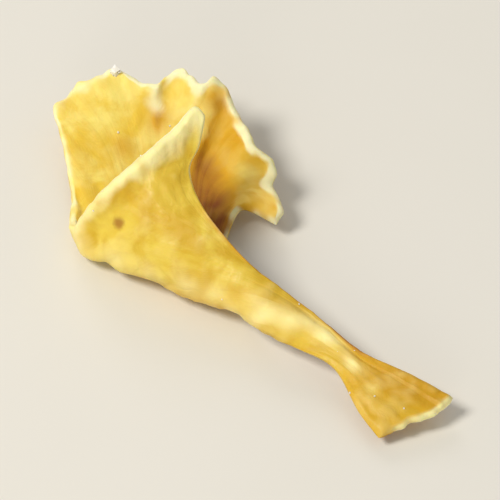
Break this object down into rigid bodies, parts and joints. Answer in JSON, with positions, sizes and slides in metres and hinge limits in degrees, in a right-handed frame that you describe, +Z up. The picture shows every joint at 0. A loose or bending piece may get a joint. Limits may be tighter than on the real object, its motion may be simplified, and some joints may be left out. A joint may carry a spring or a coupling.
{
  "type": "irish moss flake",
  "caption": "Dried seaweed flake: a narrow stem rises from a torn foot and widens to a fan rolled into an open cup with a notched, frilled rim.",
  "frame": {"origin": "centre of the bounding box's bottom face, on the surface that the flake rests on", "axes": "+Z up, +Y away from the viewer of the picture, +X to the viewer's right, so the stem's torn foot lies at +X -Y"},
  "size_m": [0.0126, 0.0148, 0.0047],
  "materials": {
    "dried_frond": "waxy, slightly translucent golden yellow with pale cut edges"
  },
  "bodies": {
    "root": {"flake": "dried_frond"}
  },
  "joints": []
}
